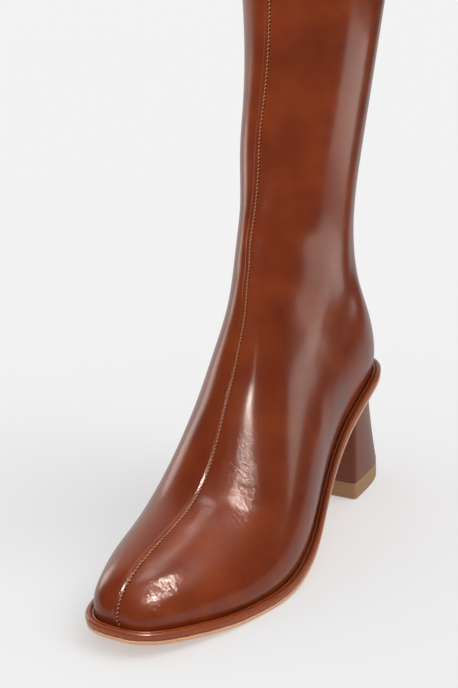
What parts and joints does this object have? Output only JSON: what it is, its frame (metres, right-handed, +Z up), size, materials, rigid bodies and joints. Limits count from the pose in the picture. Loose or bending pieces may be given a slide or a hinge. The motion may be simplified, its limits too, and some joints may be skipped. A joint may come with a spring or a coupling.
{
  "type": "knee-high boot",
  "caption": "Left knee-high boot: smooth one-piece leather upper with centre-front seam, beaded welt all round, flared block heel and thick lift.",
  "frame": {"origin": "middle of the bounding box on the floor", "axes": "+Z up, toe towards -Y, outer (lateral) side towards +X"},
  "size_m": [0.112, 0.2778, 0.455],
  "materials": {
    "upper_leather": "polished smooth calf",
    "welt_leather": "glazed",
    "sole_leather": "natural edge",
    "insole_leather": "plain board",
    "heel_leather": "satin covered block",
    "lift_rubber": "matt"
  },
  "bodies": {
    "root": {"upper": "upper_leather", "welt": "welt_leather", "outsole": "sole_leather", "insole": "insole_leather", "heel": "heel_leather", "top_lift": "lift_rubber"}
  },
  "joints": []
}
